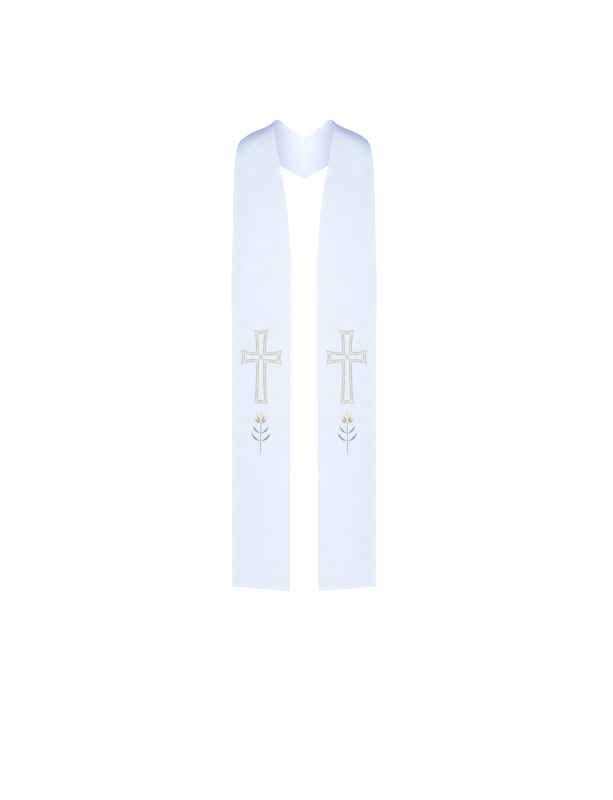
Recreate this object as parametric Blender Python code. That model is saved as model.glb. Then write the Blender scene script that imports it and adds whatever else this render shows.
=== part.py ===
"""Clerical stole, worn: one long band of cloth, cut as two mirrored halves joined at the centre back.

Each half runs from the mitred seam at the nape, over a shoulder, and down the front to its hem.
Metres, +Z up. +X is the wearer's left and -Y the wearer's front. The origin is on the body side
of the cloth, at the nape, where the seam meets the neck edge and the wearer's collar carries it.
"""

import math
from collections import namedtuple

import bmesh
import bpy
import numpy as np
from mathutils import Vector

# Cut sizes, in millimetres
PANEL = 151.0         # width of each front panel
SEAM = 112.0          # length of the mitred centre-back seam
HEM_DROP = 1127.5     # from the nape down to the hem
CLOTH = 2.0           # wall: face cloth, interlining and backing, bagged out as one
SEAM_GAP = 0.3        # left between the two halves along the seam

# Mesh of each half
SPANS_ACROSS = 10
SPANS_ALONG = 88
ROW_EVENNESS = 0.45   # 1 would space the rows evenly
NUDGE = 0.5           # millimetres each way along the band, to read its direction
EDGE_ANGLE = 40.0     # degrees, sharper than which an edge of the wall stays crisp

# A section is a line across the band, from its neck edge to its outer edge. x, y and z are its
# middle, on the face side of the cloth, for the wearer's left half. Sweep turns the outer edge
# backwards, and slope drops it. Crown bows the section away from the body, and curl lifts its
# neck edge against the collar while the outer edge droops. Millimetres and degrees.
Section = namedtuple("Section", "place x y z width sweep slope crown curl")
SECTIONS = (
    #        place                    x       y         z      width  sweep  slope  crown  curl
    Section("centre-back seam",      0.0,   20.0,    -52.0,    SEAM,  90.0,  71.0,   2.0,  0.0),
    Section("beside the seam",      36.0,   12.5,    -31.0,    97.5,  39.0,  61.5,   3.0,  0.0),
    Section("shoulder blade",       66.5,    0.5,    -11.5,    96.0,  20.0,  47.5,   3.0,  0.5),
    Section("back of shoulder",     89.5,  -15.0,      6.0,    99.5,  11.5,  38.0,   2.0,  1.5),
    Section("behind the ridge",    102.0,  -32.0,     15.5,   100.0,   5.0,  33.0,   1.0,  2.0),
    Section("just off the ridge",  108.5,  -48.0,     17.0,    99.5,   1.0,  31.0,   0.5,  2.0),
    Section("shoulder ridge",      112.5,  -65.0,     16.5,    98.5,   0.0,  30.0,   0.5,  2.5),
    Section("front of ridge",      115.0,  -83.5,     12.0,    98.0,   0.0,  28.0,   0.5,  2.5),
    Section("collar bone",         117.0, -102.0,      4.0,    99.0,   0.5,  26.0,   1.0,  2.5),
    Section("below collar bone",   119.0, -118.0,    -10.0,   101.0,   1.5,  22.0,   1.5,  2.0),
    Section("hollow of shoulder",  119.0, -130.0,    -31.5,   105.0,   3.0,  17.5,   2.0,  1.5),
    Section("top of chest",        117.5, -140.5,    -61.0,   111.5,   5.0,  13.5,   3.0,  1.0),
    Section("upper chest",         114.5, -151.5,   -101.5,   121.0,   7.0,  11.0,   4.0,  0.5),
    Section("chest",               110.0, -163.5,   -146.0,   131.5,   8.0,   8.0,   5.0,  0.0),
    Section("fullest chest",       107.0, -174.5,   -197.5,   139.0,   8.0,   4.0,   6.0,  0.0),
    Section("under the chest",     105.0, -183.0,   -259.0,   144.5,   8.0,   1.0,   6.0,  0.0),
    Section("waist",               104.5, -189.0,   -343.0,   PANEL,   8.0,   0.0,   5.5,  0.0),
    Section("belly",               104.5, -192.0,   -463.0,   PANEL,   8.5,   0.0,   5.0,  0.0),
    Section("thigh",               106.5, -191.0,   -748.0,   PANEL,   9.5,   0.0,   4.0,  0.0),
    Section("knee",                108.0, -190.0,   -948.0,   PANEL,  10.5,   0.0,   3.5,  0.0),
    Section("hem",                 108.0, -189.0, -HEM_DROP,  PANEL,  11.0,  -1.8,   3.0,  0.0),
)

COOL_WHITE = (0.80, 0.86, 0.95, 1.0)
ROUGHNESS = 0.85
MM = 0.001


def clear_objects():
    for item in list(bpy.data.objects):
        bpy.data.objects.remove(item, do_unlink=True)


def cloth_material(name):
    material = bpy.data.materials.new(name)
    material.use_nodes = True
    shader = material.node_tree.nodes["Principled BSDF"]
    shader.inputs["Base Color"].default_value = COOL_WHITE
    shader.inputs["Roughness"].default_value = ROUGHNESS
    shader.inputs["Metallic"].default_value = 0.0
    return material


class BandForm:
    """The worn surface of one half: a natural cubic spline through the columns of SECTIONS."""

    def __init__(self, sections):
        self.rows = np.array([section[1:] for section in sections])
        steps = np.linalg.norm(np.diff(self.rows[:, 0:3], axis=0), axis=1)
        self.knots = np.concatenate(([0.0], np.cumsum(steps)))
        self.curvature = self.solve_curvature()

    def solve_curvature(self):
        count = len(self.knots)
        steps = np.diff(self.knots)
        slopes = np.diff(self.rows, axis=0) / steps[:, None]
        system = np.eye(count)
        target = np.zeros_like(self.rows)
        for i in range(1, count - 1):
            system[i, i - 1:i + 2] = steps[i - 1], 2.0 * (steps[i - 1] + steps[i]), steps[i]
            target[i] = 6.0 * (slopes[i] - slopes[i - 1])
        return np.linalg.solve(system, target)

    def section_at(self, distance):
        """Every column of the table at a distance along the middle of the band."""
        i = int(np.clip(np.searchsorted(self.knots, distance) - 1, 0, len(self.knots) - 2))
        step = self.knots[i + 1] - self.knots[i]
        after = (distance - self.knots[i]) / step
        before = 1.0 - after
        bend = self.curvature[i] * (before ** 3 - before)
        bend += self.curvature[i + 1] * (after ** 3 - after)
        return self.rows[i] * before + self.rows[i + 1] * after + bend * step ** 2 / 6.0

    def row_distance(self, share):
        """Distance of a mesh row: rows are closest at the seam and widest apart at the hem."""
        length = self.knots[-1]
        return length * (ROW_EVENNESS * share + (1.0 - ROW_EVENNESS) * share ** 2)

    def directions_at(self, distance):
        """Unit vectors across the band, from neck edge to outer edge, and out of its face."""
        sweep, slope = np.radians(self.section_at(distance)[4:6])
        level = math.cos(slope)
        across = Vector((math.cos(sweep) * level, math.sin(sweep) * level, -math.sin(slope)))
        ahead = self.section_at(distance + NUDGE)[0:3] - self.section_at(distance - NUDGE)[0:3]
        outward = Vector(ahead).cross(across).normalized()
        return across, outward

    def point(self, across_share, distance):
        """A point of the face side. across_share is -0.5 at the neck edge and 0.5 at the outer edge."""
        x, y, z, width, sweep, slope, crown, curl = self.section_at(distance)
        across, outward = self.directions_at(distance)
        bow = crown * (1.0 - 4.0 * across_share ** 2) + curl * math.sin(2.0 * math.pi * across_share)
        return Vector((x, y, z)) + across * width * across_share + outward * bow


def stole_half(name, side, form, collection):
    """One half as a closed wall. side is 1 for the wearer's left and -1 for the right."""
    bm = bmesh.new()
    bmesh.ops.create_grid(bm, x_segments=SPANS_ACROSS, y_segments=SPANS_ALONG, size=0.5)
    for vert in bm.verts:
        place = form.point(vert.co.x, form.row_distance(vert.co.y + 0.5))
        vert.co = Vector((place.x * side, place.y, place.z)) * MM
    if side > 0:
        bmesh.ops.reverse_faces(bm, faces=bm.faces[:])
    bm.normal_update()
    bmesh.ops.solidify(bm, geom=bm.faces[:], thickness=CLOTH * MM)
    for vert in bm.verts:
        if abs(vert.co.x) < CLOTH * MM:
            vert.co.x = side * SEAM_GAP / 2.0 * MM
    mesh = bpy.data.meshes.new(name)
    bm.to_mesh(mesh)
    bm.free()
    mesh.materials.append(cloth_material(name + "_cloth"))
    mesh.shade_smooth()
    mesh.set_sharp_from_angle(angle=math.radians(EDGE_ANGLE))
    half = bpy.data.objects.new(name, mesh)
    collection.objects.link(half)
    return half


def main():
    clear_objects()
    collection = bpy.data.collections.new("clerical_stole")
    bpy.context.scene.collection.children.link(collection)
    form = BandForm(SECTIONS)
    stole_half("stole_half_left", 1, form, collection)
    stole_half("stole_half_right", -1, form, collection)


main()
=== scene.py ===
"""Clerical stole, worn with no wearer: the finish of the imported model.

Each cloth half is cut flat, given a wall with rolled edges, and bent into its worn form. The
embroidery is drawn on the flat cut too, stitch by stitch, and bent with it. Metres, +Z up. +X is
the wearer's left and -Y the wearer's front, with the origin at the nape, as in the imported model.
"""

import math
from collections import namedtuple

import bmesh
import bpy
import numpy as np
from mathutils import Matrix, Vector


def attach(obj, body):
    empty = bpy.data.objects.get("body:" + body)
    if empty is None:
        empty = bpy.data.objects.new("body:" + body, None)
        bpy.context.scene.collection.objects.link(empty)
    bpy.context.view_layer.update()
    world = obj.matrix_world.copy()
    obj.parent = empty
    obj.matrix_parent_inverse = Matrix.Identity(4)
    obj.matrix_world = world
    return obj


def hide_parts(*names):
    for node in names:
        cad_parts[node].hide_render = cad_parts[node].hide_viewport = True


bl_info = {
    "name": "Clerical Stole",
    "version": (1, 0, 0),
    "blender": (4, 5, 0),
    "location": "View3D > Sidebar > Stole",
    "description": "Worn stole: two bagged-out cloth halves, satin-stitch embroidery and a studio",
    "category": "Mesh",
}

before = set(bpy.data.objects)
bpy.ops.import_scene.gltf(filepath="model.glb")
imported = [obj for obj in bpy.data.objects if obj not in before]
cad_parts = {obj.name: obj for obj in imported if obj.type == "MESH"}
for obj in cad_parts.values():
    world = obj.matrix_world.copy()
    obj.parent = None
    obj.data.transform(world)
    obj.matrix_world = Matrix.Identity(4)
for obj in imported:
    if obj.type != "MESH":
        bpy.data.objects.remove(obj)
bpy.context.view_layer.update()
HALVES = (("left", 1), ("right", -1))
MM = 0.001

# ---------------------------------------------------------------------------------------------
# The worn form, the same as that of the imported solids
# ---------------------------------------------------------------------------------------------

# A section is a line across the band, from its neck edge to its outer edge. x, y and z are its
# middle, on the face side of the cloth, for the wearer's left half. Sweep turns the outer edge
# backwards, and slope drops it. Crown bows the section away from the body, and curl lifts its
# neck edge against the collar while the outer edge droops. Millimetres and degrees.
Section = namedtuple("Section", "place x y z width sweep slope crown curl")
SECTIONS = (
    #        place                    x       y         z      width  sweep  slope  crown  curl
    Section("centre-back seam",      0.0,   20.0,    -52.0,   112.0,  90.0,  71.0,   2.0,  0.0),
    Section("beside the seam",      36.0,   12.5,    -31.0,    97.5,  39.0,  61.5,   3.0,  0.0),
    Section("shoulder blade",       66.5,    0.5,    -11.5,    96.0,  20.0,  47.5,   3.0,  0.5),
    Section("back of shoulder",     89.5,  -15.0,      6.0,    99.5,  11.5,  38.0,   2.0,  1.5),
    Section("behind the ridge",    102.0,  -32.0,     15.5,   100.0,   5.0,  33.0,   1.0,  2.0),
    Section("just off the ridge",  108.5,  -48.0,     17.0,    99.5,   1.0,  31.0,   0.5,  2.0),
    Section("shoulder ridge",      112.5,  -65.0,     16.5,    98.5,   0.0,  30.0,   0.5,  2.5),
    Section("front of ridge",      115.0,  -83.5,     12.0,    98.0,   0.0,  28.0,   0.5,  2.5),
    Section("collar bone",         117.0, -102.0,      4.0,    99.0,   0.5,  26.0,   1.0,  2.5),
    Section("below collar bone",   119.0, -118.0,    -10.0,   101.0,   1.5,  22.0,   1.5,  2.0),
    Section("hollow of shoulder",  119.0, -130.0,    -31.5,   105.0,   3.0,  17.5,   2.0,  1.5),
    Section("top of chest",        117.5, -140.5,    -61.0,   111.5,   5.0,  13.5,   3.0,  1.0),
    Section("upper chest",         114.5, -151.5,   -101.5,   121.0,   7.0,  11.0,   4.0,  0.5),
    Section("chest",               110.0, -163.5,   -146.0,   131.5,   8.0,   8.0,   5.0,  0.0),
    Section("fullest chest",       107.0, -174.5,   -197.5,   139.0,   8.0,   4.0,   6.0,  0.0),
    Section("under the chest",     105.0, -183.0,   -259.0,   144.5,   8.0,   1.0,   6.0,  0.0),
    Section("waist",               104.5, -189.0,   -343.0,   151.0,   8.0,   0.0,   5.5,  0.0),
    Section("belly",               104.5, -192.0,   -463.0,   151.0,   8.5,   0.0,   5.0,  0.0),
    Section("thigh",               106.5, -191.0,   -748.0,   151.0,   9.5,   0.0,   4.0,  0.0),
    Section("knee",                108.0, -190.0,   -948.0,   151.0,  10.5,   0.0,   3.5,  0.0),
    Section("hem",                 108.0, -189.0,  -1127.5,   151.0,  11.0,  -1.8,   3.0,  0.0),
)
NUDGE = 0.5 * MM        # step along the band, to read its direction
NUDGE_SHARE = 0.002     # step across it, as a share of the width


class WornForm:
    """The face of the wearer's left half: a natural cubic spline through every column."""

    def __init__(self, sections):
        self.rows = np.array([section[1:] for section in sections])
        self.rows[:, [0, 1, 2, 3, 6, 7]] *= MM
        self.rows[:, 4:6] = np.radians(self.rows[:, 4:6])
        steps = np.linalg.norm(np.diff(self.rows[:, 0:3], axis=0), axis=1)
        self.knots = np.concatenate(([0.0], np.cumsum(steps)))
        self.length = self.knots[-1]
        self.curvature = self.solve_curvature()

    def solve_curvature(self):
        count = len(self.knots)
        steps = np.diff(self.knots)
        slopes = np.diff(self.rows, axis=0) / steps[:, None]
        system = np.eye(count)
        target = np.zeros_like(self.rows)
        for i in range(1, count - 1):
            system[i, i - 1:i + 2] = steps[i - 1], 2.0 * (steps[i - 1] + steps[i]), steps[i]
            target[i] = 6.0 * (slopes[i] - slopes[i - 1])
        return np.linalg.solve(system, target)

    def columns_at(self, along):
        """Every column of the table at distances along the middle of the band."""
        i = np.clip(np.searchsorted(self.knots, along) - 1, 0, len(self.knots) - 2)
        step = (self.knots[i + 1] - self.knots[i])[:, None]
        after = (along - self.knots[i])[:, None] / step
        before = 1.0 - after
        bend = self.curvature[i] * (before ** 3 - before)
        bend += self.curvature[i + 1] * (after ** 3 - after)
        return self.rows[i] * before + self.rows[i + 1] * after + bend * step ** 2 / 6.0

    def width_at(self, along):
        return self.columns_at(along)[:, 3]

    def face(self, share, along):
        """Points of the face. share is -0.5 at the neck edge and 0.5 at the outer edge."""
        x, y, z, width, sweep, slope, crown, curl = self.columns_at(along).T
        level = np.cos(slope)
        across = np.stack((np.cos(sweep) * level, np.sin(sweep) * level, -np.sin(slope)), axis=1)
        ahead = self.columns_at(along + NUDGE)[:, 0:3] - self.columns_at(along - NUDGE)[:, 0:3]
        outward = np.cross(ahead, across)
        outward /= np.linalg.norm(outward, axis=1)[:, None]
        bow = crown * (1.0 - 4.0 * share ** 2) + curl * np.sin(2.0 * np.pi * share)
        middle = np.stack((x, y, z), axis=1)
        return middle + across * (width * share)[:, None] + outward * bow[:, None]

    def place(self, share, along, height):
        """Points at a height above the face, square to it."""
        base = self.face(share, along)
        down = self.face(share, along + NUDGE) - base
        outer = self.face(share + NUDGE_SHARE, along) - base
        square = np.cross(down, outer)
        return base + square * (height / np.linalg.norm(square, axis=1))[:, None]


FORM = WornForm(SECTIONS)

# ---------------------------------------------------------------------------------------------
# Relief: how the cloth departs from the plain form, in metres above the face
# ---------------------------------------------------------------------------------------------

# Soft folds and drags. Along is down the middle from the back seam, and across is from the middle
# towards the outer edge. Turn is from the band's own direction. A fold has fallen to a third of
# its depth at the ends of its length and its width, and depth is negative for a trough. Half is
# 1 for the left one only, -1 for the right one only and 0 for both. Millimetres and degrees.
Fold = namedtuple("Fold", "place half along across turn length width depth")
FOLDS = (
    #    place                            half  along  across  turn  length  width  depth
    Fold("drag out of the nape seam",        0,   26.0,  -6.0,  58.0,   60.0,  20.0, -0.9),
    Fold("roll over the shoulder blade",     0,   64.0,  14.0,  78.0,   80.0,  30.0,  0.9),
    Fold("slack behind the ridge",           1,   98.0, -22.0,  70.0,   58.0,  18.0, -0.8),
    Fold("slack behind the ridge",          -1,  104.0, -18.0,  62.0,   64.0,  22.0, -0.7),
    Fold("drag across the collar bone",      1,  204.0, -12.0,  38.0,   90.0,  26.0, -0.7),
    Fold("drag across the collar bone",     -1,  212.0, -16.0,  46.0,   76.0,  24.0, -0.6),
    Fold("roll off the shoulder",            1,  248.0,   8.0,  55.0,   82.0,  46.0,  3.0),
    Fold("roll off the shoulder",           -1,  251.0,  12.0,  50.0,   78.0,  48.0,  3.2),
    Fold("swell over the upper chest",       1,  300.0,  18.0,  14.0,  150.0,  44.0,  0.8),
    Fold("swell over the upper chest",      -1,  316.0,  10.0,   9.0,  140.0,  50.0,  0.7),
    Fold("fall below the chest",             1,  440.0, -30.0,  -5.0,  260.0,  52.0,  0.9),
    Fold("fall below the chest",            -1,  465.0,  24.0,   4.0,  240.0,  56.0,  0.8),
    Fold("hollow beside it",                 1,  530.0,  28.0,  -4.0,  300.0,  48.0, -0.8),
    Fold("hollow beside it",                -1,  510.0, -22.0,   5.0,  280.0,  52.0, -0.7),
    Fold("swing of the lower panel",         1, 1130.0,  20.0,   3.0,  420.0,  64.0,  1.6),
    Fold("swing of the lower panel",        -1, 1100.0, -26.0,  -4.0,  400.0,  60.0,  1.4),
    Fold("lower hollow",                     1, 1250.0, -34.0,   5.0,  260.0,  46.0, -1.2),
    Fold("lower hollow",                    -1, 1235.0,  30.0,  -5.0,  280.0,  50.0, -1.3),
)
FADE = 4.4              # what leaves a third of the depth half a length or half a width away

SEAM_EASE = 12.0 * MM   # how far from the back seam the cloth is eased to meet the other half

# Pucker left by the machine along an edge: wavelength and share of the pucker's height
PUCKERS = ((11.3, 0.5), (17.9, 0.35), (7.1, 0.15))
PUCKER_SHIFT = 1.6      # keeps the waves of the two halves apart

SWELL_FADE = (0.75, 1.1)    # shares of the allowance between which the extra thickness ends


def smooth_step(start, end, value):
    """0 before start, 1 past end, and a smooth climb between them."""
    t = np.clip((value - start) / (end - start), 0.0, 1.0)
    return t * t * (3.0 - 2.0 * t)


def fold_height(side, across, along):
    """All the soft folds of one half together."""
    height = np.zeros_like(across)
    for fold in FOLDS:
        if fold.half not in (0, side):
            continue
        turn = math.radians(fold.turn)
        down = along / MM - fold.along
        out = across / MM - fold.across
        lengthwise = down * math.cos(turn) + out * math.sin(turn)
        sideways = out * math.cos(turn) - down * math.sin(turn)
        spread = (lengthwise / fold.length) ** 2 + (sideways / fold.width) ** 2
        height += fold.depth * MM * np.exp(-FADE * spread)
    return height


def edge_distances(across, along):
    """Distances from the neck edge, the outer edge and the hem."""
    half_width = FORM.width_at(along) / 2.0
    return across + half_width, half_width - across, FORM.length - along


def nearest_edge(across, along):
    """Distance from the nearest edge of all, the back seam included."""
    return np.minimum.reduce(edge_distances(across, along) + (along,))


def pucker_height(cloth, side, across, along):
    """Little waves along the edges, where the seam inside has drawn the cloth up."""
    neck, outer, hem = edge_distances(across, along)
    height = np.zeros_like(across)
    for order, (edge, run) in enumerate(((neck, along), (outer, along), (hem, across))):
        wave = np.zeros_like(across)
        for wavelength, share in PUCKERS:
            phase = wavelength * (order + PUCKER_SHIFT * side)
            wave += share * np.sin(2.0 * np.pi * run / (wavelength * MM) + phase)
        height += cloth.pucker * wave * np.exp(-edge / cloth.allowance)
    return height


def drape_height(cloth, side, across, along):
    """How far the whole wall stands off the plain form."""
    return fold_height(side, across, along) + pucker_height(cloth, side, across, along)


def swell_height(cloth, across, along):
    """Half of the extra thickness over the seam allowances, which are folded in at every edge."""
    start, end = (share * cloth.allowance for share in SWELL_FADE)
    return cloth.swell / 2.0 * (1.0 - smooth_step(start, end, nearest_edge(across, along)))


def places_of(mesh):
    """Every vertex of a mesh, as rows of x, y and z."""
    places = np.empty(len(mesh.vertices) * 3)
    mesh.vertices.foreach_get("co", places)
    return places.reshape(-1, 3)


def wear(mesh, cloth, side, on_face=False):
    """Bends a mesh from the flat cut into the worn form. Flat, x is across the band from its
    middle, y is down it from the back seam, and z is above the face. A mesh on the face, such as
    embroidery, goes where the face goes, and the wall's two sheets swell apart."""
    across, along, above = places_of(mesh).T
    drape = drape_height(cloth, side, across, along)
    swell = swell_height(cloth, across, along)
    depth = np.zeros_like(above) if on_face else np.clip(-above / cloth.thickness, 0.0, 1.0)
    height = above + drape + swell * (1.0 - 2.0 * depth)
    share = across / FORM.width_at(along)
    worn = FORM.place(share, along, height)
    # Up against the other half along the back seam, at every height
    strayed = FORM.place(share, np.zeros_like(along), height)[:, 0]
    worn[:, 0] -= strayed * (1.0 - smooth_step(0.0, SEAM_EASE, along))
    worn[:, 0] *= side
    mesh.vertices.foreach_set("co", worn.ravel())
    mesh.update()


# ---------------------------------------------------------------------------------------------
# Settings
# ---------------------------------------------------------------------------------------------


def linear(hex_colour):
    """An sRGB hex colour as linear red, green and blue."""
    channels = [int(hex_colour[i:i + 2], 16) / 255.0 for i in (0, 2, 4)]
    return tuple(c / 12.92 if c <= 0.04045 else ((c + 0.055) / 1.055) ** 2.4 for c in channels)


def size(name, description, millimetres):
    """A length property, in metres with a default given in millimetres."""
    return bpy.props.FloatProperty(
        name=name, description=description, default=millimetres * MM,
        min=0.0, unit="LENGTH", precision=5,
    )


def colour(name, description, hex_colour):
    return bpy.props.FloatVectorProperty(
        name=name, description=description, default=linear(hex_colour),
        min=0.0, max=1.0, size=3, subtype="COLOR",
    )


class StoleClothSettings(bpy.types.PropertyGroup):
    """The two cloth halves."""

    thickness: size("Thickness", "Face cloth, interlining and backing, bagged out as one", 2.0)
    edge_radius: size("Edge radius", "How round the turned edge is", 0.8)
    allowance: size("Seam allowance", "Width folded in along every edge", 9.0)
    swell: size("Swell", "Extra thickness over the seam allowance", 0.7)
    pucker: size("Pucker", "Height of the little waves along the edges", 0.22)
    thread_spacing: size("Thread spacing", "From one thread of the weave to the next", 0.6)
    face_colour: colour("Cloth", "White cloth of both halves", "EAF0FB")


class StoleEmbroiderySettings(bpy.types.PropertyGroup):
    """The cross and the sprig on each front panel."""

    stitch_spacing: size("Stitch spacing", "From one satin stitch to the next", 0.5)
    thread_radius: size("Thread radius", "Half the width of one laid stitch", 0.27)
    loft: size("Loft", "How high a satin column stands over its padding", 0.55)
    column_width: size("Bar width", "Width of the satin column that draws the cross", 5.6)
    gold: colour("Gold", "Fill of the cross", "F8F3EC")
    tan: colour("Tan", "Outline of the cross", "B5AAA0")
    cream: colour("Cream", "Petals of the bud", "FBF5E6")
    taupe: colour("Taupe", "Shading of the bud", "7E7464")
    teal: colour("Teal", "Leaves of the sprig", "7F979A")
    mauve: colour("Mauve grey", "Stem of the sprig", "AFAAB6")


class StoleStageSettings(bpy.types.PropertyGroup):
    """Floor, backdrop and lights."""

    floor_drop: size("Floor drop", "From the nape down to the floor", 1500.0)
    sweep_radius: size("Sweep radius", "From the stole out to the backdrop", 5200.0)
    stage_colour: colour("Stage", "Floor and backdrop", "FFFFFF")
    softbox_colour: colour("Softboxes", "Light of every softbox", "FFF7BE")
    shade_colour: colour("Shade", "Light from all round, which fills the shaded sides", "96A3D3")


# ---------------------------------------------------------------------------------------------
# Building blocks
# ---------------------------------------------------------------------------------------------


def add_node(tree, kind, settings=None, inputs=None):
    """Adds a node. inputs gives each socket its value, or the socket that is linked to it."""
    node = tree.nodes.new(kind)
    for name, value in (settings or {}).items():
        setattr(node, name, value)
    for name, value in (inputs or {}).items():
        if isinstance(value, bpy.types.NodeSocket):
            tree.links.new(value, node.inputs[name])
        else:
            node.inputs[name].default_value = value
    return node


def new_material(name):
    """An empty node tree with its output, and the material that it belongs to."""
    material = bpy.data.materials.new(name)
    material.use_nodes = True
    tree = material.node_tree
    tree.nodes.clear()
    return material, tree


def as_piece(name, mesh, material):
    """A finished mesh as a piece of the stole, which rides on its one body."""
    mesh.materials.append(material)
    piece = bpy.data.objects.new(name, mesh)
    bpy.context.scene.collection.objects.link(piece)
    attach(piece, "root")
    return piece


def mesh_from(bm, name, side):
    """A mesh from a bmesh drawn on the flat cut, with faces that will point out once it is worn."""
    if side > 0:
        bmesh.ops.reverse_faces(bm, faces=bm.faces[:])
    mesh = bpy.data.meshes.new(name)
    bm.to_mesh(mesh)
    bm.free()
    return mesh


# ---------------------------------------------------------------------------------------------
# Cloth halves
# ---------------------------------------------------------------------------------------------

SPANS_ACROSS = 52
SPANS_ALONG = 540
RIM_CROWDING = 0.55     # 0 spaces the columns evenly, and 1 crowds them at the edges
RIM_ANGLE = 60.0        # degrees, sharper than which an edge of the wall is rolled
RIM_SEGMENTS = 3
UV_NAME = "cloth_metres"
EDGE_NAME = "edge_distance"

# The gabardine's pattern. Slubs lie along both threads, about 1.5 mm wide and 17 to 20 mm long,
# coarser than real ones so that they show. Patches are the unevenness of the pressed cloth, some
# 40 mm across. Both are given as how many go to a metre, across the cloth and down it.
SLUBS = ((700.0, 50.0), (60.0, 600.0))
PATCHES = 25.0
TONE_SPREAD = (0.7, 1.3)        # values of the pattern that get the darkest and the lightest tone
TONES = (0.975, 1.02)           # those tones, over the colour of the cloth
SLUB_RELIEF = 0.12 * MM
WEAVE_RELIEF = 0.08 * MM
RELIEF_STRENGTH = 0.5
WAVES_PER_SCALE = 20.0 / (2.0 * math.pi)    # crests that a wave texture has to a metre at scale 1

# White cloth looks whiter where it lies double, over the allowance. The narrower band on the turned
# edge is partly that and partly a painted highlight, where the rolled edge catches the light. Each
# reaches in by a share of the allowance, and starts to fade out at a share of that reach.
DoubledAndEdgeHighlight = namedtuple("DoubledAndEdgeHighlight", "reach fade_start lift")
DOUBLED_AND_EDGE_HIGHLIGHT = (DoubledAndEdgeHighlight(1.0, 0.8, 0.02), DoubledAndEdgeHighlight(1.0 / 3.0, 0.1, 0.022))


def gabardine(cloth):
    """White polyester gabardine, closely woven and pressed: matt, even, with faint slubs along the
    threads and the soft sheen of fine fibre where it turns away."""
    material, tree = new_material("white_polyester_gabardine")
    uv = add_node(tree, "ShaderNodeUVMap", {"uv_map": UV_NAME}).outputs["UV"]

    # One sine for each thread direction, with thread_spacing between its crests
    thread_scale = 1.0 / (cloth.thread_spacing * WAVES_PER_SCALE)
    threads = [
        add_node(
            tree, "ShaderNodeTexWave", {"bands_direction": direction},
            {"Vector": uv, "Scale": thread_scale, "Distortion": 0.0},
        ).outputs["Fac"]
        for direction in "XY"
    ]
    weave = add_node(
        tree, "ShaderNodeMath", {"operation": "MULTIPLY"}, {0: threads[0], 1: threads[1]}
    )

    slubs = []
    for to_a_metre in SLUBS:
        run = add_node(tree, "ShaderNodeMapping", None, {"Vector": uv, "Scale": (*to_a_metre, 1.0)})
        slub = add_node(
            tree, "ShaderNodeTexNoise", None,
            {"Vector": run.outputs["Vector"], "Scale": 1.0, "Detail": 2.0, "Roughness": 0.5},
        )
        slubs.append(slub.outputs["Fac"])
    slub = add_node(tree, "ShaderNodeMath", {"operation": "ADD"}, {0: slubs[0], 1: slubs[1]})

    # The mean of both slubs, over the patches
    patch = add_node(
        tree, "ShaderNodeTexNoise", None, {"Vector": uv, "Scale": PATCHES, "Detail": 3.0}
    )
    tone = add_node(
        tree, "ShaderNodeMath", {"operation": "MULTIPLY_ADD"},
        {0: slub.outputs[0], 1: 1.0 / len(SLUBS), 2: patch.outputs["Fac"]},
    )
    shade = add_node(
        tree, "ShaderNodeMapRange", None,
        {
            "Value": tone.outputs[0], "From Min": TONE_SPREAD[0], "From Max": TONE_SPREAD[1],
            "To Min": TONES[0], "To Max": TONES[1],
        },
    ).outputs["Result"]

    # Lighter bands along every edge: doubled cloth over the allowance, and a painted highlight on
    # the turned edge as well
    edge = add_node(tree, "ShaderNodeAttribute", {"attribute_name": EDGE_NAME}).outputs["Fac"]
    for doubled_and_highlight in DOUBLED_AND_EDGE_HIGHLIGHT:
        reach = doubled_and_highlight.reach * cloth.allowance
        band = add_node(
            tree, "ShaderNodeMapRange", {"interpolation_type": "SMOOTHSTEP"},
            {
                "Value": edge, "From Min": doubled_and_highlight.fade_start * reach, "From Max": reach,
                "To Min": doubled_and_highlight.lift, "To Max": 0.0,
            },
        )
        shade = add_node(
            tree, "ShaderNodeMath", {"operation": "ADD"}, {0: shade, 1: band.outputs["Result"]}
        ).outputs[0]
    face = add_node(
        tree, "ShaderNodeVectorMath", {"operation": "SCALE"}, {0: cloth.face_colour, "Scale": shade}
    )
    slub_bump = add_node(
        tree, "ShaderNodeBump", None,
        {"Height": slub.outputs[0], "Strength": RELIEF_STRENGTH, "Distance": SLUB_RELIEF},
    )
    weave_bump = add_node(
        tree, "ShaderNodeBump", None,
        {
            "Height": weave.outputs[0], "Strength": RELIEF_STRENGTH, "Distance": WEAVE_RELIEF,
            "Normal": slub_bump.outputs["Normal"],
        },
    )
    shader = add_node(
        tree, "ShaderNodeBsdfPrincipled", None,
        {
            "Base Color": face.outputs["Vector"], "Roughness": 0.82, "IOR": 1.5,
            "Sheen Weight": 0.12, "Sheen Roughness": 0.5, "Normal": weave_bump.outputs["Normal"],
        },
    )
    add_node(tree, "ShaderNodeOutputMaterial", None, {"Surface": shader.outputs["BSDF"]})
    return material


def cut_half(cloth):
    """One half lying flat, as a closed wall: its two sheets are joined round the rim and rolled."""
    bm = bmesh.new()
    bmesh.ops.create_grid(bm, x_segments=SPANS_ACROSS, y_segments=SPANS_ALONG, size=0.5)
    rows = np.array([vert.co.y + 0.5 for vert in bm.verts]) * FORM.length
    for vert, along, width in zip(bm.verts, rows, FORM.width_at(rows)):
        crowded = math.sin(math.pi * vert.co.x) / 2.0
        share = vert.co.x * (1.0 - RIM_CROWDING) + crowded * RIM_CROWDING
        vert.co = Vector((share * width, along, 0.0))
    bm.normal_update()
    bmesh.ops.solidify(bm, geom=bm.faces[:], thickness=cloth.thickness)
    bm.normal_update()
    # The rim's edges along both sheets, without those that join one sheet to the other
    rim = [
        edge for edge in bm.edges
        if edge.calc_face_angle(0.0) > math.radians(RIM_ANGLE)
        and abs(edge.verts[0].co.z - edge.verts[1].co.z) < cloth.thickness / 2
    ]
    bmesh.ops.bevel(
        bm, geom=rim, offset=cloth.edge_radius, offset_type="OFFSET", segments=RIM_SEGMENTS,
        profile=0.5, affect="EDGES", material=-1, clamp_overlap=True,
    )
    return bm


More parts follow.
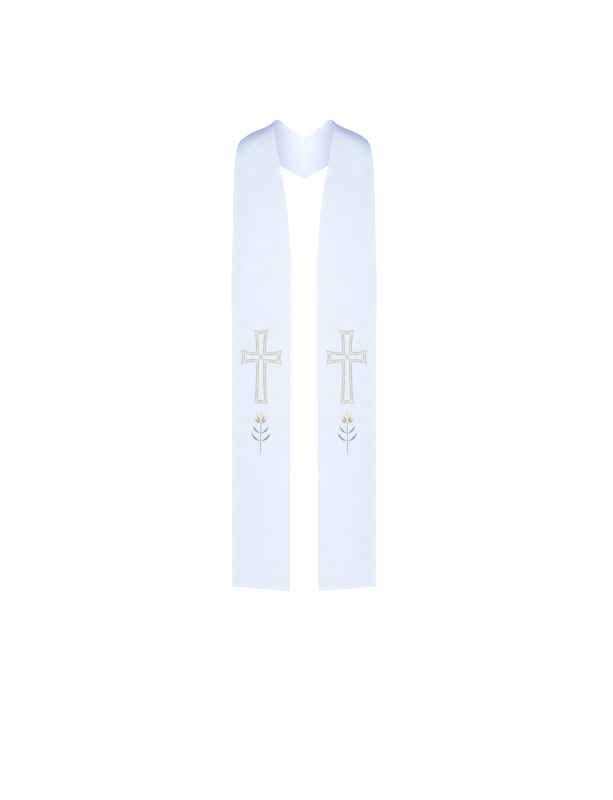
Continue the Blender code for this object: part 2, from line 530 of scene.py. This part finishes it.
def keep_flat_cut(mesh):
    """Gives the mesh the flat cut as its UV map, so that the weave follows the cloth, and each
    vertex its distance from the nearest edge. Both are in metres."""
    flat = places_of(mesh)
    corners = np.empty(len(mesh.loops), dtype=int)
    mesh.loops.foreach_get("vertex_index", corners)
    mesh.uv_layers.new(name=UV_NAME).data.foreach_set("uv", flat[corners, 0:2].ravel())
    nearest = np.maximum(nearest_edge(flat[:, 0], flat[:, 1]), 0.0)
    mesh.attributes.new(EDGE_NAME, "FLOAT", "POINT").data.foreach_set("value", nearest)


class STOLE_OT_cloth_halves(bpy.types.Operator):
    """Both halves of the band, bagged out and worn."""

    bl_idname = "stole.cloth_halves"
    bl_label = "Cloth halves"

    def execute(self, context):
        cloth = context.scene.stole_cloth
        material = gabardine(cloth)
        for name, side in HALVES:
            mesh = mesh_from(cut_half(cloth), f"{name}_cloth", side)
            keep_flat_cut(mesh)
            wear(mesh, cloth, side)
            mesh.shade_smooth()
            half = as_piece(f"{name}_cloth_half", mesh, material)
            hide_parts(f"stole_half_{name}")
        return {"FINISHED"}


# ---------------------------------------------------------------------------------------------
# Embroidery
# ---------------------------------------------------------------------------------------------

# Heights above the hem, up the middle of a panel
CROSSING_HEIGHT = 586.0 * MM
BUD_HEIGHT = 424.0 * MM

# The cross, in millimetres from its crossing to the middle of the satin column that draws it
ARM_LENGTHS = {"up": 62.5, "right": 45.5, "down": 111.5, "left": 45.5}
ARM_HALF_WIDTH = 8.6
FLARED_HALF_WIDTH = 12.4
FLARE = 2.6                     # the higher, the nearer its end an arm flares
END_HOLLOW = 1.6                # how far the middle of an arm's end curves in
MITRE_REACH = 9.0               # stitches fan round a corner over this length
ARM_POINTS = 60                 # points of an arm's side, and of its end, before the stitches
END_POINTS = 30                 # are spaced along them
DIAMOND = (6.5, 4.6)            # half height and half width

# The sprig, in millimetres from the base of its bud. A blade is a curved shape with two pointed
# ends: its spine bends from root to tip by way of its bend point. Each is sewn again mirrored.
Blade = namedtuple("Blade", "root bend tip half_width fullest")
PETALS = (
    Blade((1.2, 1.5), (9.5, 8.0), (9.5, 27.0), 3.3, 0.45),
    Blade((1.6, -0.5), (14.5, 1.0), (17.5, 16.5), 2.5, 0.45),
)
MIDDLE_PETAL = Blade((0.0, 1.0), (0.0, 16.0), (0.0, 32.0), 4.4, 0.4)
SHADINGS = (
    Blade((1.9, 3.2), (6.6, 7.6), (7.8, 16.0), 1.4, 0.4),
    Blade((2.6, 0.3), (10.0, 1.6), (13.4, 8.4), 1.3, 0.4),
)
LEAVES = (
    Blade((0.2, -27.0), (11.0, -25.0), (19.5, -9.5), 2.0, 0.55),
    Blade((0.2, -46.0), (15.0, -44.5), (24.0, -26.0), 2.2, 0.55),
)
STEM_LENGTH = 76.0
BLADE_SLANT = 28.0              # degrees that its stitches slant from square across it

BEAD_SIDES = 6
BEAD_SPANS = 6
STITCH_FLATNESS = 0.8           # height of a thread over its width, pressed against the cloth
COLUMN_SHAPE = 4                # the higher, the flatter a column's top and the steeper its sides
ROPE_LEAN = 0.15                # how far a stem stitch starts and ends to either side of its line
CORD_THREAD = 1.5               # the thread of the corded lines, over that of the satin stitch

# Corded lines, in millimetres: from one stitch to the next, and the length of each
OUTLINE_STITCHES = (1.3, 2.6)
STEM_STITCHES = (1.4, 3.4)
STEM_STRANDS = (-0.4, 0.4)      # how far each strand of the stem is to the right of its middle

# Heights of a stitch's ends above the face, and how much higher its middle stands
FILL_BASE = 0.1 * MM
CORD_BASE = 0.25 * MM
CORD_LOFT = 0.1 * MM
SHADING_BASE = 0.6 * MM
SHADING_LOFT = 0.35 * MM

# How stitches are laid: the radius of their thread, the height of their ends and how much higher
# their middle stands, in metres, and then the material and the slot of their piece
Lay = namedtuple("Lay", "radius base loft material slot")
SHEEN_PATCHES = 650.0           # to a metre, so about 1.5 mm across, three stitches wide


def bezier(root, bend, tip, spacing):
    """Points along a quadratic curve, about spacing apart."""
    root, bend, tip = (np.array(point, dtype=float) for point in (root, bend, tip))
    rough_length = np.linalg.norm(bend - root) + np.linalg.norm(tip - bend)
    t = np.linspace(0.0, 1.0, max(3, int(rough_length / spacing)))[:, None]
    return root * (1 - t) ** 2 + 2.0 * bend * t * (1 - t) + tip * t ** 2


def distances_along(points):
    """Distance of each point of a polyline from its start."""
    return np.concatenate(([0.0], np.cumsum(np.linalg.norm(np.diff(points, axis=0), axis=1))))


def points_at(points, stations):
    """Points at distances along a polyline."""
    run = distances_along(points)
    return np.stack([np.interp(stations, run, points[:, axis]) for axis in (0, 1)], axis=1)


def evenly(points, spacing):
    """The same polyline with its points a spacing apart."""
    length = distances_along(points)[-1]
    return points_at(points, np.linspace(0.0, length, max(2, round(length / spacing) + 1)))


def normals_of(points):
    """Unit vectors square to a polyline, on its left."""
    heading = np.gradient(points, axis=0)
    heading /= np.linalg.norm(heading, axis=1)[:, None]
    return np.stack((-heading[:, 1], heading[:, 0]), axis=1)


def mitre(before, after):
    """The way to the corner where two columns of one width meet, for a unit half width."""
    return (before + after) / (1.0 + float(np.dot(before, after)))


def satin_edges(sides, half_width):
    """Both edges of a closed satin column: for each of its sides, the points where stitches end."""
    normals = [normals_of(points) for points in sides]
    edges = []
    for i, (points, normal) in enumerate(zip(sides, normals)):
        first = mitre(normals[i - 1][-1], normal[0])
        last = mitre(normal[-1], normals[(i + 1) % len(sides)][0])
        run = distances_along(points)
        near_first = np.clip(1.0 - run / MITRE_REACH, 0.0, 1.0)[:, None]
        near_last = np.clip(1.0 - (run[-1] - run) / MITRE_REACH, 0.0, 1.0)[:, None]
        reach = normal * (1.0 - near_first - near_last) + first * near_first + last * near_last
        edges.append((points + reach * half_width, points - reach * half_width))
    return edges


def cross_sides(spacing):
    """The twelve sides of the cross, clockwise: out along an arm, over its end and back."""
    sides = []
    start = ARM_HALF_WIDTH
    for quarter, length in enumerate(ARM_LENGTHS.values()):
        t = np.linspace(0.0, 1.0, ARM_POINTS)
        forward = start + (length - start) * t
        lateral = ARM_HALF_WIDTH + (FLARED_HALF_WIDTH - ARM_HALF_WIDTH) * t ** FLARE
        across_end = np.linspace(-FLARED_HALF_WIDTH, FLARED_HALF_WIDTH, END_POINTS)
        hollow = END_HOLLOW * (1.0 - (across_end / FLARED_HALF_WIDTH) ** 2)
        turn = math.radians(90.0 * quarter)
        way_out = -lateral, forward
        over_end = across_end, length - hollow
        way_back = lateral[::-1], forward[::-1]
        for x, y in (way_out, over_end, way_back):
            out = x * math.cos(turn) + y * math.sin(turn)
            up = y * math.cos(turn) - x * math.sin(turn)
            sides.append(evenly(np.stack((out, up), axis=1), spacing))
    return sides


def blade_stitches(blade, spacing, mirrored=False):
    """Satin stitches across a blade, all with the same slant."""
    spine = evenly(bezier(blade.root, blade.bend, blade.tip, spacing), spacing)
    share = np.linspace(0.0, 1.0, len(spine))
    # A sine, shifted so that it peaks at the fullest place
    profile = np.sin(np.pi * share ** (math.log(0.5) / math.log(blade.fullest)))
    normal = normals_of(spine)
    ahead = np.stack((normal[:, 1], -normal[:, 0]), axis=1)
    slanted = normal + ahead * math.tan(math.radians(BLADE_SLANT))
    reach = slanted * (blade.half_width * profile)[:, None]
    stitches = np.stack((spine + reach, spine - reach), axis=1)[1:-1]
    if mirrored:
        stitches = stitches * np.array((-1.0, 1.0))
    return stitches


def rope_stitches(points, advance, length):
    """Stem stitch: short stitches that overlap along a line like the strands of a rope."""
    run = distances_along(points)[-1]
    count = max(2, round((run - length) / advance) + 1)
    middles = np.linspace(length / 2.0, run - length / 2.0, count)
    starts = points_at(points, middles - length / 2.0)
    ends = points_at(points, middles + length / 2.0)
    heading = (ends - starts) / np.linalg.norm(ends - starts, axis=1)[:, None]
    lean = np.stack((-heading[:, 1], heading[:, 0]), axis=1) * ROPE_LEAN
    return np.stack((starts - lean, ends + lean), axis=1)


def bead_template():
    """One stitch as a ball of radius 1: its corners, and its faces by corner. z runs along it."""
    bm = bmesh.new()
    bmesh.ops.create_uvsphere(bm, u_segments=BEAD_SIDES, v_segments=BEAD_SPANS, radius=1.0)
    bm.verts.index_update()
    corners = np.array([vert.co for vert in bm.verts])
    # Sorted, because their order would otherwise differ from run to run
    faces = sorted([vert.index for vert in face.verts] for face in bm.faces)
    bm.free()
    return corners, faces


def sew(name, stitches, height, lay, cloth, side):
    """Lays stitches, drawn in millimetres from a point at a height above the hem, as beads of
    thread that dive into the cloth at both ends."""
    corners, faces = bead_template()
    ends = np.array(stitches) * MM
    ends[:, :, 1] = FORM.length - height - ends[:, :, 1]
    middle = ends.mean(axis=1)[:, None]
    reach = (ends[:, 1] - ends[:, 0])[:, None] / 2.0
    heading = reach / np.linalg.norm(reach, axis=2, keepdims=True)
    lateral = np.stack((-heading[..., 1], heading[..., 0]), axis=2)
    beside, above, onward = corners.T
    flat = middle + lateral * (beside * lay.radius)[:, None] + reach * onward[:, None]
    column = lay.loft * (1.0 - onward ** COLUMN_SHAPE)
    above = lay.base + above * lay.radius * STITCH_FLATNESS + column
    above = np.broadcast_to(above[:, None], (*flat.shape[0:2], 1))
    points = np.concatenate((flat, above), axis=2).reshape(-1, 3)
    if side > 0:
        faces = [face[::-1] for face in faces]
    firsts = range(0, len(points), len(corners))
    beads = [[first + corner for corner in face] for first in firsts for face in faces]
    mesh = bpy.data.meshes.new(name)
    mesh.from_pydata(points, [], beads)
    wear(mesh, cloth, side, on_face=True)
    mesh.shade_smooth()
    return as_piece(name, mesh, lay.material)


def thread_material(dye, thread_colour):
    """Trilobal polyester embroidery thread: its flat-sided fibres give a silky shine along the
    stitches. How that shine varies a little from one to the next is painted sheen, in the colour."""
    material, tree = new_material(f"{dye}_polyester_thread")
    # Painted sheen: the thread's colour is lightened and darkened in patches about three stitches
    # wide
    place = add_node(tree, "ShaderNodeTexCoord").outputs["Object"]
    patch = add_node(
        tree, "ShaderNodeTexNoise", None, {"Vector": place, "Scale": SHEEN_PATCHES, "Detail": 1.0}
    )
    shade = add_node(
        tree, "ShaderNodeMapRange", None,
        {
            "Value": patch.outputs["Fac"], "From Min": 0.3, "From Max": 0.7,
            "To Min": 0.9, "To Max": 1.06,
        },
    )
    painted_sheen_colour = add_node(
        tree, "ShaderNodeVectorMath", {"operation": "SCALE"},
        {0: thread_colour, "Scale": shade.outputs["Result"]},
    )
    shader = add_node(
        tree, "ShaderNodeBsdfPrincipled", None,
        {
            "Base Color": painted_sheen_colour.outputs["Vector"], "Roughness": 0.42, "IOR": 1.5,
            "Specular IOR Level": 0.5,
        },
    )
    add_node(tree, "ShaderNodeOutputMaterial", None, {"Surface": shader.outputs["BSDF"]})
    return material


class STOLE_OT_cross(bpy.types.Operator):
    """A plain flared cross on each front panel, drawn by one satin column with a corded outline."""

    bl_idname = "stole.cross"
    bl_label = "Crosses"

    def execute(self, context):
        cloth, sewing = context.scene.stole_cloth, context.scene.stole_embroidery
        spacing = sewing.stitch_spacing / MM
        half_width = sewing.column_width / MM / 2.0
        edges = satin_edges(cross_sides(spacing), half_width)
        bars = [np.stack(pair, axis=1) for pair in edges]
        diamond_height, diamond_width = DIAMOND
        rows = np.arange(-diamond_height + spacing, diamond_height, spacing)
        reach = diamond_width * (1.0 - np.abs(rows) / diamond_height)
        diamond = np.stack((np.stack((-reach, rows), 1), np.stack((reach, rows), 1)), axis=1)
        fill = np.concatenate(bars + [diamond])
        corners = np.array([(0.0, 1.0), (1.0, 0.0), (0.0, -1.0), (-1.0, 0.0), (0.0, 1.0)])
        corners *= (diamond_width, diamond_height)
        lines = [line for pair in edges for line in pair] + list(zip(corners, corners[1:]))
        ropes = [rope_stitches(np.array(line), *OUTLINE_STITCHES) for line in lines]
        outline = np.concatenate(ropes)
        thread, cord = sewing.thread_radius, sewing.thread_radius * CORD_THREAD
        gold, tan = (thread_material(dye, getattr(sewing, dye)) for dye in ("gold", "tan"))
        filled = Lay(thread, FILL_BASE, sewing.loft, gold, "gold_thread")
        corded = Lay(cord, CORD_BASE, CORD_LOFT, tan, "gold_thread")
        for name, side in HALVES:
            sew(f"{name}_cross_fill", fill, CROSSING_HEIGHT, filled, cloth, side)
            sew(f"{name}_cross_outline", outline, CROSSING_HEIGHT, corded, cloth, side)
        return {"FINISHED"}


class STOLE_OT_sprig(bpy.types.Operator):
    """A small sprig below each cross: a bud of five petals over two pairs of leaves."""

    bl_idname = "stole.sprig"
    bl_label = "Sprigs"

    def execute(self, context):
        cloth, sewing = context.scene.stole_cloth, context.scene.stole_embroidery
        spacing = sewing.stitch_spacing / MM

        def pairs(blades):
            sides = [(blade, flip) for blade in blades for flip in (False, True)]
            return [blade_stitches(blade, spacing, flip) for blade, flip in sides]

        petals = np.concatenate(pairs(PETALS) + [blade_stitches(MIDDLE_PETAL, spacing)])
        shadings = np.concatenate(pairs(SHADINGS))
        leaves = np.concatenate(pairs(LEAVES))
        stem_line = np.array([(0.0, 1.0), (0.0, -STEM_LENGTH)])
        strands = [stem_line + (shift, 0.0) for shift in STEM_STRANDS]
        stem = np.concatenate([rope_stitches(strand, *STEM_STITCHES) for strand in strands])
        thread, cord = sewing.thread_radius, sewing.thread_radius * CORD_THREAD
        parts = (
            ("bud_petals", petals, thread, FILL_BASE, sewing.loft, "cream", "gold_thread"),
            ("bud_shading", shadings, thread, SHADING_BASE, SHADING_LOFT, "taupe", "gold_thread"),
            ("leaves", leaves, thread, FILL_BASE, sewing.loft, "teal", "green_thread"),
            ("stem", stem, cord, CORD_BASE, CORD_LOFT, "mauve", "green_thread"),
        )
        for part, stitches, radius, base, loft, dye, slot in parts:
            lay = Lay(radius, base, loft, thread_material(dye, getattr(sewing, dye)), slot)
            for name, side in HALVES:
                sew(f"{name}_{part}", stitches, BUD_HEIGHT, lay, cloth, side)
        return {"FINISHED"}


# ---------------------------------------------------------------------------------------------
# Stage
# ---------------------------------------------------------------------------------------------

CAMERA_PLACE = (0.0061, -3.690, -0.203)
CAMERA_TILT = 7.25              # degrees down
CAMERA_LENS = 64.3              # millimetres, on a sensor 36 mm along the picture's long side
SENSOR = 36.0

# Softboxes stand round the stole. Turn is from the front towards the wearer's left, in degrees.
# Away and level are of its middle, and width and height are its own, all in metres.
Softbox = namedtuple("Softbox", "name turn away level width height watts")
SOFTBOXES = (
    Softbox("key_softbox",            0.0, 4.6, -0.40, 3.2, 3.4, 158.0),
    Softbox("left_back_softbox",    145.0, 4.4, -0.95, 2.4, 2.2, 125.0),
    Softbox("right_back_softbox",  -125.0, 4.4, -0.95, 2.0, 2.2,  70.0),
)
AIM = (0.0, -0.1, -0.45)        # where every softbox faces

# The sweep, in metres: its floor turns up through a cove into the wall
COVE_RADIUS = 1.2
COVE_STEPS = 8
WALL_HEIGHT = 5.5
SWEEP_STEPS = 64
POLE_MERGE = 0.01 * MM          # the spun points at the middle of the floor become one


class STOLE_OT_stage(bpy.types.Operator):
    """White floor that sweeps up into a backdrop all round, soft lights and the camera."""

    bl_idname = "stole.stage"
    bl_label = "Stage"

    def execute(self, context):
        stage = context.scene.stole_stage
        self.add_sweep(context, stage)
        self.add_world(context, stage)
        for softbox in SOFTBOXES:
            self.add_softbox(context, softbox, stage)
        self.add_camera(context)
        context.scene.view_settings.view_transform = "Standard"
        return {"FINISHED"}

    def add_sweep(self, context, stage):
        """A flat round floor whose edge curves up into a wall, spun from one profile."""
        bm = bmesh.new()
        profile = [bm.verts.new((0.0, 0.0, 0.0))]
        for step in range(COVE_STEPS + 1):
            turn = math.radians(90.0 * step / COVE_STEPS)
            out = stage.sweep_radius - COVE_RADIUS * (1.0 - math.sin(turn))
            profile.append(bm.verts.new((out, 0.0, COVE_RADIUS * (1.0 - math.cos(turn)))))
        profile.append(bm.verts.new((stage.sweep_radius, 0.0, WALL_HEIGHT)))
        edges = [bm.edges.new(pair) for pair in zip(profile, profile[1:])]
        bmesh.ops.spin(
            bm, geom=profile + edges, cent=(0.0, 0.0, 0.0), axis=(0.0, 0.0, 1.0),
            dvec=(0.0, 0.0, 0.0), angle=2.0 * math.pi, steps=SWEEP_STEPS,
            use_merge=True, use_duplicate=False,
        )
        bmesh.ops.remove_doubles(bm, verts=bm.verts[:], dist=POLE_MERGE)
        bmesh.ops.recalc_face_normals(bm, faces=bm.faces[:])
        bmesh.ops.reverse_faces(bm, faces=bm.faces[:])
        bmesh.ops.translate(bm, vec=(0.0, 0.0, -stage.floor_drop), verts=bm.verts[:])
        mesh = bpy.data.meshes.new("studio_sweep")
        bm.to_mesh(mesh)
        bm.free()
        mesh.shade_smooth()
        # It glows white by itself and the camera alone sees it, so it is one white from every side
        # and neither lights the stole nor shades it
        material, tree = new_material("white_matt_paint")
        white = (*stage.stage_colour, 1.0)
        paint = add_node(
            tree, "ShaderNodeBsdfPrincipled", None,
            {
                "Base Color": white, "Roughness": 1.0, "Specular IOR Level": 0.0,
                "Emission Color": white, "Emission Strength": 1.0,
            },
        )
        add_node(tree, "ShaderNodeOutputMaterial", None, {"Surface": paint.outputs["BSDF"]})
        mesh.materials.append(material)
        sweep = bpy.data.objects.new("studio_sweep", mesh)
        context.scene.collection.objects.link(sweep)
        for ray in ("diffuse", "glossy", "transmission", "volume_scatter", "shadow"):
            setattr(sweep, "visible_" + ray, False)

    def add_world(self, context, stage):
        world = bpy.data.worlds.new("studio_shade")
        world.use_nodes = True
        tree = world.node_tree
        tree.nodes.clear()
        shade = add_node(
            tree, "ShaderNodeBackground", None,
            {"Color": (*stage.shade_colour, 1.0), "Strength": 1.0},
        )
        add_node(tree, "ShaderNodeOutputWorld", None, {"Surface": shade.outputs["Background"]})
        context.scene.world = world

    def add_softbox(self, context, softbox, stage):
        light = bpy.data.lights.new(softbox.name, "AREA")
        light.shape = "RECTANGLE"
        light.size, light.size_y = softbox.width, softbox.height
        light.energy = softbox.watts
        light.color = stage.softbox_colour
        lamp = bpy.data.objects.new(softbox.name, light)
        turn, away = math.radians(softbox.turn), softbox.away
        lamp.location = (away * math.sin(turn), -away * math.cos(turn), softbox.level)
        aim = Vector(AIM) - lamp.location
        lamp.rotation_euler = aim.to_track_quat("-Z", "Y").to_euler()
        lamp.visible_camera = False
        context.scene.collection.objects.link(lamp)

    def add_camera(self, context):
        data = bpy.data.cameras.new("studio_camera")
        data.sensor_fit = "AUTO"
        data.sensor_width = SENSOR
        data.lens = CAMERA_LENS
        camera = bpy.data.objects.new("studio_camera", data)
        camera.location = CAMERA_PLACE
        camera.rotation_euler = (math.radians(90.0 - CAMERA_TILT), 0.0, 0.0)
        context.scene.collection.objects.link(camera)
        context.scene.camera = camera


# ---------------------------------------------------------------------------------------------
# Registration
# ---------------------------------------------------------------------------------------------

SETTINGS = (
    ("stole_cloth", StoleClothSettings),
    ("stole_embroidery", StoleEmbroiderySettings),
    ("stole_stage", StoleStageSettings),
)
OPERATORS = (STOLE_OT_cloth_halves, STOLE_OT_cross, STOLE_OT_sprig, STOLE_OT_stage)


class STOLE_PT_panel(bpy.types.Panel):
    """Lists the stole's settings and the steps that build it."""

    bl_idname = "STOLE_PT_panel"
    bl_label = "Clerical stole"
    bl_space_type = "VIEW_3D"
    bl_region_type = "UI"
    bl_category = "Stole"

    def draw(self, context):
        for owner, group in SETTINGS:
            box = self.layout.box()
            for setting in group.__annotations__:
                box.prop(getattr(context.scene, owner), setting)
        for operator in OPERATORS:
            self.layout.operator(operator.bl_idname)


def register():
    for owner, group in SETTINGS:
        bpy.utils.register_class(group)
        setattr(bpy.types.Scene, owner, bpy.props.PointerProperty(type=group))
    for operator in OPERATORS:
        bpy.utils.register_class(operator)
    bpy.utils.register_class(STOLE_PT_panel)


def unregister():
    bpy.utils.unregister_class(STOLE_PT_panel)
    for operator in reversed(OPERATORS):
        bpy.utils.unregister_class(operator)
    for owner, group in reversed(SETTINGS):
        delattr(bpy.types.Scene, owner)
        bpy.utils.unregister_class(group)


def main():
    register()
    bpy.ops.stole.cloth_halves()
    bpy.ops.stole.cross()
    bpy.ops.stole.sprig()
    bpy.ops.stole.stage()


if __name__ == "__main__":
    main()
